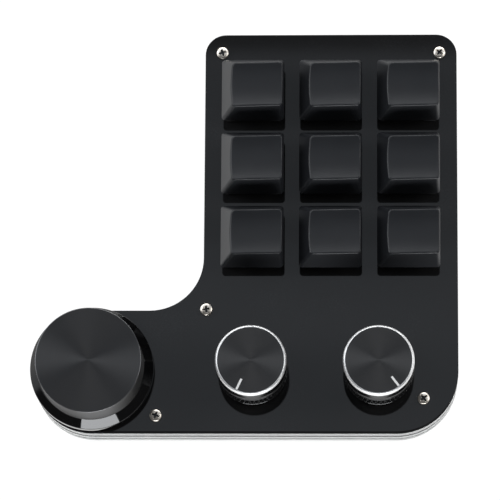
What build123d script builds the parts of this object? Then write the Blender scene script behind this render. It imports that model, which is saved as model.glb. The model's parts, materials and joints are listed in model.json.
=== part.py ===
from build123d import *
import math
import os

# Macro keypad: nine sprung keys and three push-and-turn knobs on a stack of acrylic plates.
# Lengths are in millimetres. X runs along the front edge, Y to the back edge, Z up from the desk.

# Case outline: a block that holds the keys, with an arm that reaches to the left along the front
case_width = 122.6
case_depth = 117.6
block_width = 73.3
arm_depth = 35.4
back_corner_radius = 6.0
front_corner_radius = 17.7
inner_corner_share = 0.49

# Case layers
foot_height = 2.0
base_thickness = 3.0
lower_spacer_thickness = 4.0
upper_spacer_thickness = 5.0
plate_thickness = 3.0
plate_edge_break = 0.2
spacer_wall = 3.0
overrun = 1.0

# Case fasteners
screw_side_inset = 5.0
screw_back_inset = 5.6
inner_screw_inset = 6.9
inner_screw_angle = -43.0
arm_screw_from_end = 35.9
arm_screw_front_inset = 4.7
corner_screw_side_inset = 10.0
corner_screw_front_inset = 9.7
screw_shank_diameter = 1.9
screw_hole_diameter = 2.2
screw_head_diameter = 3.5
screw_head_height = 1.3
screw_head_crown = 0.45
screw_recess_length = 2.0
screw_recess_width = 0.5
screw_recess_depth = 0.7
screw_grip = 3.4
standoff_diameter = 3.6
standoff_bore = 2.0
standoff_clearance = 0.1
lobe_radius = 3.6
lobe_reach = 6.0

# Feet
foot_diameter = 9.0
foot_edge_break = 0.4
foot_inset = 11.5

# Circuit board and what is soldered under it
board_thickness = 1.6
board_gap = 0.5
pin_hole_clearance = 0.1
chip_width = 7.0
chip_height = 0.9
diode_length = 2.7
diode_width = 1.6
diode_height = 1.1
diode_offset = 6.5

# Cable socket
socket_width = 8.94
socket_height = 3.26
socket_length = 10.0
socket_wall = 0.3
socket_recess = 0.2
socket_opening_clearance = 0.3
tongue_width = 6.6
tongue_thickness = 0.7
tongue_length = 5.5
tongue_root_length = 3.0

# Key layout
key_columns = 3
key_rows = 3
key_pitch_x = 22.5
key_pitch_y = 21.75
key_back_margin = 18.25
key_travel = 4.0

# Key switch, heights above the circuit board
switch_body_width = 13.9
switch_cutout_clearance = 0.1
switch_seat_height = 5.0
switch_flange_width = 15.6
switch_flange_thickness = 1.0
switch_band_width = 15.0
switch_band_thickness = 1.4
switch_shoulder_width = 14.4
switch_crown_width = 10.4
switch_crown_height = 11.6
switch_roof_thickness = 1.6
switch_floor_thickness = 1.0
post_diameter = 4.0
post_floor = 0.6
contact_width = 1.0
contact_thickness = 0.4
contact_length = 3.0
contact_rise = 1.8
contact_clearance = 0.05
left_contact_x = -3.8
left_contact_y = 2.5
right_contact_x = 2.5
right_contact_y = 5.1

# Key stem and spring
slider_width = 7.4
slider_depth = 6.8
slider_clearance = 0.3
neck_width = 6.4
neck_depth = 5.6
neck_clearance = 0.2
neck_top = 11.5
cross_top = 15.2
cross_length = 4.0
cross_thickness = 1.2
cross_clearance = 0.05
pole_diameter = 2.0
pole_bottom = 2.0
pole_clearance = 0.3
pole_end_gap = 0.6
spring_outer_diameter = 4.8
spring_wire = 0.4
spring_solid_length = 1.6

# Keycap: the long slope faces the left, so the dish runs from left to right
cap_base_height = 11.1
cap_base_width = 18.1
cap_corner_radius = 1.5
cap_top_left = 5.7
cap_top_right = 8.75
cap_top_width = 12.9
cap_edge_radius = 0.5
cap_left_height = 6.75
cap_right_height = 7.95
cap_dish_depth = 0.9
cap_dish_spread = 0.2
cap_wall = 1.2
cap_roof = 1.0
cap_inner_corner_radius = 0.6
cap_socket_diameter = 5.6
cap_socket_bottom = 0.6
cap_socket_depth = 4.3

# Encoder, heights above the circuit board
encoder_width = 12.0
encoder_cutout_clearance = 0.3
encoder_base_height = 1.9
encoder_height = 6.0
encoder_wall = 0.5
encoder_seat_height = 3.1
encoder_seat_diameter = 8.0
encoder_seat_bore = 5.0
bushing_diameter = 7.0
bushing_top = 11.5
encoder_pin_pitch = 2.4
encoder_pin_width = 0.8
encoder_pin_length = 3.0
encoder_pin_inset = 0.9

# Encoder shaft and code wheel, heights above the circuit board
shaft_diameter = 6.0
shaft_running_clearance = 0.05
shaft_tip = 18.5
shaft_flat_depth = 1.5
shaft_flat_bottom = 12.0
shaft_drive_diameter = 4.0
shaft_drive_flat = 0.6
shaft_drive_bottom = 2.6
shaft_collar_diameter = 7.6
shaft_collar_bottom = 4.7
shaft_collar_top = 5.4
wheel_diameter = 9.8
wheel_thickness = 0.9
wheel_slot_count = 12
wheel_slot_width = 0.8
wheel_slot_length = 1.6
wheel_slot_inset = 0.6

# Small knobs, heights above the cover plate
left_knob_share = 0.56
right_knob_inset = 22.85
small_knob_diameter = 20.3
small_knob_bottom = 1.8
small_knob_top = 18.0
small_knob_chamfer_width = 0.85
small_knob_chamfer_height = 1.3
small_knob_recess_diameter = 14.0
small_knob_recess_depth = 5.7
small_knob_foot = 1.0
small_knob_collar = 3.4
knurl_count = 48
knurl_depth = 0.35
knurl_width = 0.9
bush_diameter = 10.0
bush_clearance = 0.02
bush_bore_clearance = 0.05
pointer_inner_radius = 6.0
pointer_width = 0.62
pointer_depth = 0.3
left_pointer_angle = -115.0
right_pointer_angle = -52.6

# Large knob, heights above the cover plate
jog_base_diameter = 35.4
jog_bottom = 2.0
jog_base_break = 0.3
jog_edge_height = 2.5
jog_skirt_height = 2.5
jog_wall_diameter = 30.4
jog_shoulder_diameter = 30.1
jog_top = 18.0
jog_top_break = 0.2
jog_recess_outer_diameter = 26.0
jog_recess_depth = 4.6
jog_hub_diameter = 15.0
jog_bore_diameter = 8.0
jog_bore_depth = 5.5
jog_flat_angle = 90.0
set_screw_diameter = 3.0
set_screw_length = 5.0
set_screw_clearance = 0.05
set_screw_height = 10.6
set_screw_key_width = 1.5
set_screw_key_depth = 1.2

# Levels above the desk
base_top = foot_height + base_thickness
lower_top = base_top + lower_spacer_thickness
upper_top = lower_top + upper_spacer_thickness
plate_top = upper_top + plate_thickness
board_top = plate_top - switch_seat_height
board_bottom = board_top - board_thickness

# Levels above the circuit board that follow from the key's travel
slider_bottom = switch_floor_thickness + spring_solid_length + key_travel
well_bottom = pole_bottom - key_travel - pole_end_gap
post_bottom = well_bottom - post_floor

# Outline places
right = case_width / 2
left = -right
back = case_depth / 2
front = -back
block_left = right - block_width
block_middle = right - block_width / 2
arm_back = front + arm_depth
arm_end_x = left + arm_depth / 2
inner_corner_radius = inner_corner_share * (block_left - arm_end_x)
knob_y = front + arm_depth / 2
right_knob_x = right - right_knob_inset
left_knob_x = arm_end_x + left_knob_share * (right_knob_x - arm_end_x)

upright = (Align.CENTER, Align.CENTER, Align.MIN)


def slab(sketch, bottom, top):
    return extrude(Pos(0, 0, bottom) * sketch, top - bottom)


def block(width, depth, bottom, top):
    return Pos(0, 0, bottom) * Box(width, depth, top - bottom, align=upright)


def rod(diameter, bottom, top):
    return Pos(0, 0, bottom) * Cylinder(diameter / 2, top - bottom, align=upright)


def repeat(shape, places):
    return Compound(children=[place * shape for place in places])


def cut_all(shape, cutter, places):
    return shape - [place * cutter for place in places]


# The L-shaped outline moved inwards by inset, with every arc kept about the same centre
def outline(inset):
    with BuildLine() as edge:
        front_run = Line((arm_end_x, front + inset), (right - front_corner_radius, front + inset))
        front_arc = JernArc(front_run @ 1, front_run % 1, front_corner_radius - inset, 90)
        right_run = Line(front_arc @ 1, (right - inset, back - back_corner_radius))
        right_arc = JernArc(right_run @ 1, right_run % 1, back_corner_radius - inset, 90)
        back_run = Line(right_arc @ 1, (block_left + back_corner_radius, back - inset))
        back_arc = JernArc(back_run @ 1, back_run % 1, back_corner_radius - inset, 90)
        left_run = Line(back_arc @ 1, (block_left + inset, arm_back + inner_corner_radius))
        inner_arc = JernArc(left_run @ 1, left_run % 1, inner_corner_radius + inset, -90)
        arm_run = Line(inner_arc @ 1, (arm_end_x, arm_back - inset))
        JernArc(arm_run @ 1, arm_run % 1, arm_depth / 2 - inset, 180)
    return make_face(edge.line)


# Screw places, each with the heading of the wall that its lobe grows from
inner_screw_reach = inner_corner_radius + inner_screw_inset
inner_screw_heading = math.radians(inner_screw_angle)
inner_screw_x = block_left - inner_corner_radius + inner_screw_reach * math.cos(inner_screw_heading)
inner_screw_y = arm_back + inner_corner_radius + inner_screw_reach * math.sin(inner_screw_heading)
screw_places = (
    (block_left + screw_side_inset, back - screw_back_inset, 135),
    (right - screw_side_inset, back - screw_back_inset, 45),
    (inner_screw_x, inner_screw_y, inner_screw_angle + 180),
    (left + arm_screw_from_end, front + arm_screw_front_inset, -90),
    (right - corner_screw_side_inset, front + corner_screw_front_inset, -45),
)
screw_locations = [Pos(x, y) for x, y, heading in screw_places]
foot_locations = [
    Pos(block_left + foot_inset, back - foot_inset),
    Pos(right - foot_inset, back - foot_inset),
    Pos(right - front_corner_radius, front + foot_inset),
    Pos(arm_end_x, knob_y),
]
keys = {
    f"r{row + 1}c{column + 1}": Pos(
        block_middle + (column - (key_columns - 1) / 2) * key_pitch_x,
        back - key_back_margin - row * key_pitch_y,
    )
    for row in range(key_rows)
    for column in range(key_columns)
}
key_locations = list(keys.values())
jog_location = Pos(arm_end_x, knob_y) * Rot(0, 0, jog_flat_angle)
left_location = Pos(left_knob_x, knob_y)
right_location = Pos(right_knob_x, knob_y)
encoder_locations = [jog_location, left_location, right_location]
on_board = Pos(0, 0, board_top)
on_plate = Pos(0, 0, plate_top)


# Rounded lobes that carry the screws, grown by spread and trimmed to the outline
def lobes(spread):
    shape = Sketch()
    for x, y, heading in screw_places:
        neck = Pos(lobe_reach / 2, 0) * Rectangle(lobe_reach, 2 * (lobe_radius + spread))
        shape += Pos(x, y) * Rot(0, 0, heading) * (Circle(lobe_radius + spread) + neck)
    return shape & outline(0)


# Case
def top_plate():
    plate = slab(outline(0), upper_top, plate_top)
    rim = plate.faces().sort_by(Axis.Z)[-1].outer_wire().edges()
    plate = chamfer(rim, plate_edge_break)
    switch_width = switch_body_width + 2 * switch_cutout_clearance
    encoder_hole = encoder_width + 2 * encoder_cutout_clearance
    low, high = upper_top - overrun, plate_top + overrun
    plate = cut_all(plate, block(switch_width, switch_width, low, high), key_locations)
    plate = cut_all(plate, block(encoder_hole, encoder_hole, low, high), encoder_locations)
    return cut_all(plate, rod(screw_hole_diameter, low, high), screw_locations)


def socket_opening():
    spread = 2 * socket_opening_clearance
    tunnel = extrude(SlotOverall(socket_width + spread, socket_height + spread), spacer_wall + 2 * overrun)
    return Pos(block_middle, back + overrun, board_bottom - socket_height / 2) * Rot(90, 0, 0) * tunnel


def spacer(bottom, top):
    ring = outline(0) - outline(spacer_wall) + lobes(0)
    hole = standoff_diameter + 2 * standoff_clearance
    frame = slab(ring, bottom, top)
    frame = cut_all(frame, rod(hole, bottom - overrun, top + overrun), screw_locations)
    return frame - socket_opening()


def base_plate():
    floor = slab(outline(0), foot_height, base_top)
    hole = rod(screw_hole_diameter, foot_height - overrun, base_top + overrun)
    return cut_all(floor, hole, screw_locations)


def standoff():
    sleeve = rod(standoff_diameter, base_top, upper_top)
    return sleeve - rod(standoff_bore, base_top - overrun, upper_top + overrun)


# A pan-head screw that stands with its seat at zero, pointing down
def case_screw(plate):
    head = rod(screw_head_diameter, 0, screw_head_height)
    head = chamfer(head.edges().sort_by(Axis.Z)[-1], screw_head_crown)
    low = screw_head_height - screw_recess_depth
    high = screw_head_height + overrun
    slot = block(screw_recess_length, screw_recess_width, low, high)
    shank = rod(screw_shank_diameter, -plate - screw_grip, 0)
    return head + shank - slot - Rot(0, 0, 90) * slot


def foot():
    pad = rod(foot_diameter, 0, foot_height)
    return chamfer(pad.edges().sort_by(Axis.Z)[0], foot_edge_break)


# Electronics
def circuit_board():
    shape = outline(spacer_wall + board_gap) - lobes(board_gap)
    board = slab(shape, board_bottom, board_top)
    low, high = board_bottom - overrun, board_top + overrun
    board = cut_all(board, rod(post_diameter + 2 * pin_hole_clearance, low, high), key_locations)
    slot_width = contact_width + 2 * pin_hole_clearance
    slot_depth = contact_thickness + 2 * pin_hole_clearance
    for x, y in contact_places:
        board = cut_all(board, Pos(x, y) * block(slot_width, slot_depth, low, high), key_locations)
    pin_hole = encoder_pin_width + 2 * pin_hole_clearance
    for place in encoder_pin_places():
        board = cut_all(board, place * block(pin_hole, pin_hole, low, high), encoder_locations)
    return board


def controller_chip():
    place = key_locations[key_columns + 1] * Pos(key_pitch_x / 2, -key_pitch_y / 2)
    return place * block(chip_width, chip_width, board_bottom - chip_height, board_bottom)


def diode():
    body = block(diode_length, diode_width, board_bottom - diode_height, board_bottom)
    return Pos(0, -diode_offset) * body


# Along the socket, from its mouth inwards
def socket_run(width, height, start, end):
    return Pos(0, 0, -end) * extrude(SlotOverall(width, height), end - start)


socket_place = Pos(block_middle, back - socket_recess, board_bottom - socket_height / 2) * Rot(-90, 0, 0)
socket_inner_width = socket_width - 2 * socket_wall
socket_inner_height = socket_height - 2 * socket_wall


def usb_shell():
    tube = socket_run(socket_width, socket_height, 0, socket_length)
    tube -= socket_run(socket_inner_width, socket_inner_height, -overrun, socket_length + overrun)
    return socket_place * tube


def usb_tongue():
    root_face = socket_length - tongue_root_length
    root = socket_run(socket_inner_width, socket_inner_height, root_face, socket_length)
    blade = Pos(0, 0, -root_face) * Box(tongue_width, tongue_thickness, tongue_length, align=upright)
    return socket_place * (root + blade)


# Key switch
contact_places = ((left_contact_x, left_contact_y), (right_contact_x, right_contact_y))


def contact_slot(place, spread):
    x, y = place
    width = contact_width + 2 * spread
    depth = contact_thickness + 2 * spread
    return Pos(x, y) * block(width, depth, -contact_length, contact_rise + spread)


def switch_lower_housing():
    flange_top = switch_seat_height + switch_flange_thickness
    body = block(switch_body_width, switch_body_width, 0, flange_top)
    body += block(switch_flange_width, switch_flange_width, switch_seat_height, flange_top)
    body += rod(post_diameter, post_bottom, 0)
    body -= block(
        slider_width + 2 * slider_clearance,
        slider_depth + 2 * slider_clearance,
        switch_floor_thickness,
        flange_top + overrun,
    )
    body -= rod(pole_diameter + 2 * pole_clearance, well_bottom, flange_top)
    for place in contact_places:
        body -= contact_slot(place, contact_clearance)
    return on_board * body


def switch_upper_housing():
    flange_top = switch_seat_height + switch_flange_thickness
    band_top = flange_top + switch_band_thickness
    body = block(switch_band_width, switch_band_width, flange_top, band_top)
    rise = switch_crown_height - band_top
    lean = math.degrees(math.atan2(switch_shoulder_width - switch_crown_width, 2 * rise))
    shoulder = Rectangle(switch_shoulder_width, switch_shoulder_width)
    body += Pos(0, 0, band_top) * extrude(shoulder, rise, taper=lean)
    body -= block(
        slider_width + 2 * slider_clearance,
        slider_depth + 2 * slider_clearance,
        flange_top - overrun,
        switch_crown_height - switch_roof_thickness,
    )
    body -= block(
        neck_width + 2 * neck_clearance,
        neck_depth + 2 * neck_clearance,
        flange_top,
        switch_crown_height + overrun,
    )
    return on_board * body


def switch_contacts():
    return [on_board * contact_slot(place, 0) for place in contact_places]


# The cross that the cap sits on, grown by spread
def cross(spread, bottom, top):
    length = cross_length + 2 * spread
    thickness = cross_thickness + 2 * spread
    return block(length, thickness, bottom, top) + block(thickness, length, bottom, top)


def stem():
    slider_top = switch_crown_height - switch_roof_thickness
    body = block(slider_width, slider_depth, slider_bottom, slider_top)
    body += block(neck_width, neck_depth, slider_top, neck_top)
    body += cross(0, neck_top, cross_top)
    body += rod(pole_diameter, pole_bottom, slider_bottom)
    return on_board * body


# The envelope of the return spring's turns
def spring():
    coil = rod(spring_outer_diameter, switch_floor_thickness, slider_bottom)
    inner = spring_outer_diameter - 2 * spring_wire
    return on_board * (coil - rod(inner, 0, slider_bottom + overrun))


# Keycap: a tapered shell, dished across the top, with a socket for the stem's cross
cap_top_middle = (cap_top_right - cap_top_left) / 2
cap_top_length = cap_top_right + cap_top_left
cap_mean_height = (cap_left_height + cap_right_height) / 2
cap_tilt = math.atan2(cap_right_height - cap_left_height, cap_top_length)
cap_top_plane = Plane(
    (cap_top_middle, 0, cap_mean_height),
    x_dir=(math.cos(cap_tilt), 0, math.sin(cap_tilt)),
    z_dir=(-math.sin(cap_tilt), 0, math.cos(cap_tilt)),
)


def cap_taper(inset, corner_radius):
    base_width = cap_base_width - 2 * inset
    top_length = cap_top_length / math.cos(cap_tilt) - 2 * inset
    top_width = cap_top_width - 2 * inset
    base = Rectangle(base_width, base_width)
    top = cap_top_plane * Rectangle(top_length, top_width)
    taper = loft([base, top], ruled=True)
    corners = taper.edges().filter_by(lambda edge: edge.bounding_box().size.Z > cap_mean_height / 2)
    return fillet(corners, corner_radius)


def keycap():
    chord = cap_top_width / 2 + cap_dish_spread
    dish_radius = (chord**2 + cap_dish_depth**2) / (2 * cap_dish_depth)
    dish = Cylinder(dish_radius, 2 * cap_base_width, rotation=(0, 90, 0))
    shell = cap_taper(0, cap_corner_radius)
    shell -= cap_top_plane * Pos(0, 0, dish_radius - cap_dish_depth) * dish
    top = shell.faces().filter_by(GeomType.CYLINDER).sort_by(Axis.Z)[-1]
    shell = fillet(top.edges(), cap_edge_radius)
    roof = cap_dish_depth + cap_roof
    above = Box(2 * cap_base_width, 2 * cap_base_width, cap_mean_height, align=upright)
    hollow = cap_taper(cap_wall, cap_inner_corner_radius)
    hollow -= cap_top_plane * Pos(0, 0, -roof) * above
    shell -= hollow
    socket = rod(cap_socket_diameter, cap_socket_bottom, cap_mean_height - roof + cap_roof / 2)
    socket -= cross(cross_clearance, 0, cap_socket_depth)
    return Pos(0, 0, board_top + cap_base_height) * (shell + socket)


# Encoder
def encoder_pin_places():
    row = encoder_width / 2 - encoder_pin_inset
    turning = [Pos(step * encoder_pin_pitch, -row) for step in (-1, 0, 1)]
    pushing = [Pos(step * encoder_pin_pitch, row) for step in (-1, 1)]
    return turning + pushing


def encoder_base():
    body = block(encoder_width, encoder_width, 0, encoder_base_height)
    body += rod(encoder_seat_diameter, encoder_base_height, encoder_seat_height)
    body -= rod(encoder_seat_bore, encoder_base_height, encoder_seat_height + overrun)
    return on_board * body


def encoder_cover():
    inner = encoder_width - 2 * encoder_wall
    body = block(encoder_width, encoder_width, encoder_base_height, encoder_height)
    body -= block(inner, inner, encoder_base_height - overrun, encoder_height - encoder_wall)
    body += rod(bushing_diameter, encoder_height, bushing_top)
    bore = shaft_diameter + 2 * shaft_running_clearance
    return on_board * (body - rod(bore, encoder_base_height, bushing_top + overrun))


def encoder_pins():
    pin = block(encoder_pin_width, encoder_pin_width, -encoder_pin_length, 0)
    return [on_board * place * pin for place in encoder_pin_places()]


# A round bar with one flat towards +X
def flatted_rod(diameter, flat, bottom, top):
    cut = Pos(diameter - flat, 0) * block(diameter, 2 * diameter, bottom - overrun, top + overrun)
    return rod(diameter, bottom, top) - cut


def code_wheel():
    bottom = encoder_seat_height
    top = bottom + wheel_thickness
    wheel = rod(wheel_diameter, bottom, top)
    grow = 2 * shaft_running_clearance
    wheel -= flatted_rod(shaft_drive_diameter + grow, shaft_drive_flat, bottom - overrun, top + overrun)
    slot = block(wheel_slot_length, wheel_slot_width, bottom - overrun, top + overrun)
    radius = wheel_diameter / 2 - wheel_slot_inset - wheel_slot_length / 2
    return on_board * cut_all(wheel, slot, PolarLocations(radius, wheel_slot_count))


def shaft():
    body = flatted_rod(shaft_drive_diameter, shaft_drive_flat, shaft_drive_bottom, shaft_collar_bottom)
    body += rod(shaft_collar_diameter, shaft_collar_bottom, shaft_collar_top)
    body += rod(shaft_diameter, shaft_collar_top, shaft_flat_bottom)
    body += flatted_rod(shaft_diameter, shaft_flat_depth, shaft_flat_bottom, shaft_tip)
    return on_board * body


shaft_tip_above_plate = shaft_tip - switch_seat_height


# A hole for the flatted end of the shaft, heights above the cover plate
def shaft_hole(bottom):
    diameter = shaft_diameter + 2 * bush_bore_clearance
    return flatted_rod(diameter, shaft_flat_depth, bottom, shaft_tip_above_plate)


# Small knobs
def pointer(angle, spread):
    outer = small_knob_diameter / 2 - small_knob_chamfer_width
    length = outer - pointer_inner_radius
    middle = (outer + pointer_inner_radius) / 2
    bar = block(length, pointer_width, small_knob_top - pointer_depth, small_knob_top + spread)
    return on_plate * Rot(0, 0, angle) * Pos(middle, 0) * bar


def small_knob_bush():
    bottom = small_knob_bottom + small_knob_recess_depth
    return on_plate * (rod(bush_diameter, bottom, shaft_tip_above_plate) - shaft_hole(bottom - overrun))


def small_knob(pointer_angle):
    radius = small_knob_diameter / 2
    ring_bottom = small_knob_top - small_knob_chamfer_height
    profile = Polyline(
        (0, small_knob_bottom),
        (radius, small_knob_bottom),
        (radius, ring_bottom),
        (radius - small_knob_chamfer_width, small_knob_top),
        (0, small_knob_top),
        close=True,
    )
    body = revolve(Plane.XZ * make_face(profile), Axis.Z)
    recess_top = small_knob_bottom + small_knob_recess_depth
    body -= rod(small_knob_recess_diameter, small_knob_bottom - overrun, recess_top)
    body -= rod(bush_diameter + 2 * bush_clearance, small_knob_bottom, shaft_tip_above_plate)
    groove = Rot(0, 0, 45) * block(
        knurl_width / math.sqrt(2),
        knurl_width / math.sqrt(2),
        small_knob_bottom + small_knob_foot,
        ring_bottom - small_knob_collar,
    )
    reach = radius + knurl_width / 2 - knurl_depth
    body = cut_all(body, groove, PolarLocations(reach, knurl_count))
    return on_plate * body - pointer(pointer_angle, overrun)


# Large knob
def set_screw_run(diameter, inner, outer):
    bar = Cylinder(diameter / 2, outer - inner, align=upright)
    return Pos(inner, 0, set_screw_height) * Rot(0, 90, 0) * bar


set_screw_inner = shaft_diameter / 2 - shaft_flat_depth + bush_bore_clearance


def jog_knob():
    base_radius = jog_base_diameter / 2
    skirt_bottom = jog_bottom + jog_edge_height
    profile = Polyline(
        (0, jog_bottom),
        (base_radius - jog_base_break, jog_bottom),
        (base_radius, jog_bottom + jog_base_break),
        (base_radius, skirt_bottom),
        (jog_wall_diameter / 2, skirt_bottom + jog_skirt_height),
        (jog_shoulder_diameter / 2, jog_top - jog_top_break),
        (jog_shoulder_diameter / 2 - jog_top_break, jog_top),
        (0, jog_top),
        close=True,
    )
    body = revolve(Plane.XZ * make_face(profile), Axis.Z)
    recess_top = jog_bottom + jog_recess_depth
    recess = rod(jog_recess_outer_diameter, jog_bottom - overrun, recess_top)
    body -= recess - rod(jog_hub_diameter, jog_bottom - overrun, recess_top)
    bore_top = jog_bottom + jog_bore_depth
    body -= rod(jog_bore_diameter, jog_bottom - overrun, bore_top)
    body -= shaft_hole(jog_bottom)
    body -= set_screw_run(set_screw_diameter + 2 * set_screw_clearance, 0, base_radius + overrun)
    return on_plate * body


def set_screw():
    outer = set_screw_inner + set_screw_length
    body = set_screw_run(set_screw_diameter, set_screw_inner, outer)
    key = Box(2 * set_screw_key_depth, set_screw_key_width, set_screw_key_width)
    return on_plate * (body - Pos(outer, 0, set_screw_height) * key)


top_screw_locations = [place * on_plate for place in screw_locations]
base_screw_locations = [place * Pos(0, 0, foot_height) * Rot(180, 0, 0) for place in screw_locations]

pieces = {
    "top_plate": top_plate(),
    "upper_spacer": spacer(lower_top, upper_top),
    "lower_spacer": spacer(base_top, lower_top),
    "base_plate": base_plate(),
    "standoffs": repeat(standoff(), screw_locations),
    "top_screws": repeat(case_screw(plate_thickness), top_screw_locations),
    "base_screws": repeat(case_screw(base_thickness), base_screw_locations),
    "feet": repeat(foot(), foot_locations),
    "circuit_board": circuit_board(),
    "controller_chip": controller_chip(),
    "diodes": repeat(diode(), key_locations),
    "usb_shell": usb_shell(),
    "usb_tongue": usb_tongue(),
    "switch_lower_housings": repeat(switch_lower_housing(), key_locations),
    "switch_upper_housings": repeat(switch_upper_housing(), key_locations),
    "switch_contacts": Compound(
        children=[place * pin for place in key_locations for pin in switch_contacts()]
    ),
    "encoder_bases": repeat(encoder_base(), encoder_locations),
    "encoder_covers": repeat(encoder_cover(), encoder_locations),
    "encoder_pins": Compound(
        children=[place * pin for place in encoder_locations for pin in encoder_pins()]
    ),
}

cap, key_stem, key_spring = keycap(), stem(), spring()
for name, place in keys.items():
    pieces[f"keycap_{name}"] = place * cap
    pieces[f"stem_{name}"] = place * key_stem
    pieces[f"spring_{name}"] = place * key_spring

for name, place in (("jog", jog_location), ("left", left_location), ("right", right_location)):
    pieces[f"{name}_code_wheel"] = place * code_wheel()
    pieces[f"{name}_shaft"] = place * shaft()
pieces["jog_knob"] = jog_location * jog_knob()
pieces["jog_set_screw"] = jog_location * set_screw()
for name, place, angle in (
    ("left", left_location, left_pointer_angle),
    ("right", right_location, right_pointer_angle),
):
    pieces[f"{name}_knob"] = place * small_knob(angle)
    pieces[f"{name}_knob_bush"] = place * small_knob_bush()
    pieces[f"{name}_pointer"] = place * pointer(angle, 0)

os.makedirs("parts", exist_ok=True)
for name, piece in pieces.items():
    export_step(piece, f"parts/{name}.step")
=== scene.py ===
import json
import math
import bpy
import bmesh
import numpy as np
from mathutils import Matrix, Vector

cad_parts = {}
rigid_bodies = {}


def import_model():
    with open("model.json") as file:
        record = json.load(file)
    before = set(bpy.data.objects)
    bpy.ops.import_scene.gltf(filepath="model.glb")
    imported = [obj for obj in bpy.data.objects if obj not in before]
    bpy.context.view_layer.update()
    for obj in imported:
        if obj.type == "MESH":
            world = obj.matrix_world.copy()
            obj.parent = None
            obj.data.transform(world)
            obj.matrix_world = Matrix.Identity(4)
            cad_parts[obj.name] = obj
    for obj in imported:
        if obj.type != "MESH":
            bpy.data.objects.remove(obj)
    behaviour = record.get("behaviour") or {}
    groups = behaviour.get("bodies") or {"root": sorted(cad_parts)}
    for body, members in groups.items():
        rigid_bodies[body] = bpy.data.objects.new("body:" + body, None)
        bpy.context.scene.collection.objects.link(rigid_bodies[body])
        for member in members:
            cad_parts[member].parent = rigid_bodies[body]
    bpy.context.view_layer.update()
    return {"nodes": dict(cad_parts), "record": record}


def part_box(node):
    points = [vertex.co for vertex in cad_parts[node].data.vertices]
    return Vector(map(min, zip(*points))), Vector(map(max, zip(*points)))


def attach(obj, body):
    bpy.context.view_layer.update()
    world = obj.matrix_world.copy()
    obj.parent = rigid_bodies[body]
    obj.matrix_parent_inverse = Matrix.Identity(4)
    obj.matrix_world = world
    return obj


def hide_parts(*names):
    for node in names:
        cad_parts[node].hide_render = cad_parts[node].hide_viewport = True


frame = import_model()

# Macro keypad: the looks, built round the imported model. Metres, the model's own frame.
mm = 0.001
tiny = 1e-6
record = frame["record"]
nodes = frame["nodes"]
bodyOf = {n: b for b, members in record["behaviour"]["bodies"].items() for n in members}
slotOf = {row["node"]: row["material_slot"] for row in record["subparts"]}
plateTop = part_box("top_plate")[1].z
print("frame loaded:", len(nodes), "nodes")


# The photograph's camera: a long lens, high over the front edge, a little to the right
cameraSetup = {
    "focalLength": 253.46,
    "azimuth": 9.635,
    "elevation": 77.664,
    "roll": 0.379,
    "distance": 1.01755,
    "target": (0.00134, -0.00556, 0.017),
    "clip": (0.01, 50.0),
}


def placeCamera(setup):
    azimuth, elevation, roll = (math.radians(setup[k]) for k in ("azimuth", "elevation", "roll"))
    flat = math.cos(elevation)
    back = Vector((math.sin(azimuth) * flat, -math.cos(azimuth) * flat, math.sin(elevation)))
    side = Vector((0, 1, 0)).cross(back).normalized()
    up = back.cross(side)
    rolledSide = side * math.cos(roll) + up * math.sin(roll)
    rolledUp = up * math.cos(roll) - side * math.sin(roll)
    lens = bpy.data.cameras.new("photoCamera")
    lens.lens = setup["focalLength"]
    lens.clip_start, lens.clip_end = setup["clip"]
    camera = bpy.data.objects.new("photoCamera", lens)
    bpy.context.scene.collection.objects.link(camera)
    turn = Matrix((rolledSide, rolledUp, back)).transposed().to_4x4()
    camera.matrix_world = Matrix.Translation(Vector(setup["target"]) + back * setup["distance"]) @ turn
    bpy.context.scene.camera = camera


placeCamera(cameraSetup)
bpy.context.scene.view_settings.view_transform = "Standard"
print("camera placed")


# Effects that several finishes share: noise by scale per metre and detail, lathe rows by detail and share
effects = {
    "grainScale": 5000.0, "grainDetail": 3.0, "cloudScale": 90.0, "cloudDetail": 2.0,
    "lines": 9000.0, "latheRows": (("Height", 2.0, 1.0), ("Tone", 3.0, 0.12)),
    "patchScale": 60.0, "patchDetail": 3.0, "speckScale": 2600.0, "speckDetail": 1.0,
    "dustSpan": (0.28, 0.5), "dustAmount": 0.1,
}


def newGroup(name, inputs, outputs):
    group = bpy.data.node_groups.new(name, "ShaderNodeTree")
    for label, kind, value in inputs:
        socket = group.interface.new_socket(label, in_out="INPUT", socket_type="NodeSocket" + kind)
        if value is not None:
            socket.default_value = value
    for label, kind in outputs:
        group.interface.new_socket(label, in_out="OUTPUT", socket_type="NodeSocket" + kind)
    return group, group.nodes.new("NodeGroupInput"), group.nodes.new("NodeGroupOutput")


# Gives a socket a number, or links it to another socket
def feed(tree, socket, value):
    if isinstance(value, (int, float)):
        socket.default_value = value
    else:
        tree.links.new(value, socket)


def mathNode(tree, operation, first, second):
    node = tree.nodes.new("ShaderNodeMath")
    node.operation = operation
    feed(tree, node.inputs[0], first)
    feed(tree, node.inputs[1], second)
    return node.outputs[0]


def noiseNode(tree, vector, scale, detail):
    noise = tree.nodes.new("ShaderNodeTexNoise")
    noise.inputs["Detail"].default_value = detail
    tree.links.new(vector, noise.inputs["Vector"])
    feed(tree, noise.inputs["Scale"], scale)
    return noise.outputs["Fac"]


# Grain of a moulded surface: a fine height, and a broad cloud for slow changes of tone
def makeGrain():
    group, given, result = newGroup(
        "mouldedGrain",
        [("Vector", "Vector", None), ("Scale", "Float", effects["grainScale"]),
         ("Cloud Scale", "Float", effects["cloudScale"])],
        [("Height", "Float"), ("Cloud", "Float")],
    )
    fine = noiseNode(group, given.outputs["Vector"], given.outputs["Scale"], effects["grainDetail"])
    broad = noiseNode(group, given.outputs["Vector"], given.outputs["Cloud Scale"], effects["cloudDetail"])
    group.links.new(fine, result.inputs["Height"])
    group.links.new(broad, result.inputs["Cloud"])
    return group


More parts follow.
